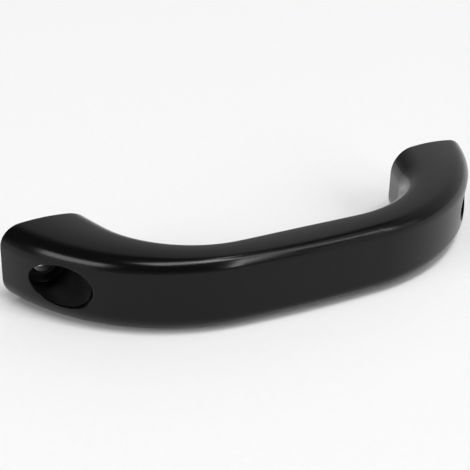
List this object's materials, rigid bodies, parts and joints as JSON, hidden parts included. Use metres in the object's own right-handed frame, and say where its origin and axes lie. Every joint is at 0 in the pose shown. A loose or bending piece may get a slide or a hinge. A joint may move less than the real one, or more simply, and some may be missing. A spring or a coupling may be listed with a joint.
{
  "type": "roof grab handle",
  "caption": "One-piece bow-shaped grab handle with wide rounded shoulders and a deep counterbored screw hole through each foot.",
  "frame": {"origin": "on the mounting plane, midway between the two screw holes", "axes": "+X along the handle, +Y into the surface that the handle is screwed to, +Z across the handle's width; the handle lies on its lower long side as in the picture"},
  "size_m": [0.2, 0.054, 0.031],
  "materials": {
    "satin_black_moulding": "satin black solid moulding with a soft sheen"
  },
  "bodies": {
    "root": {"handle": "satin_black_moulding"}
  },
  "joints": []
}
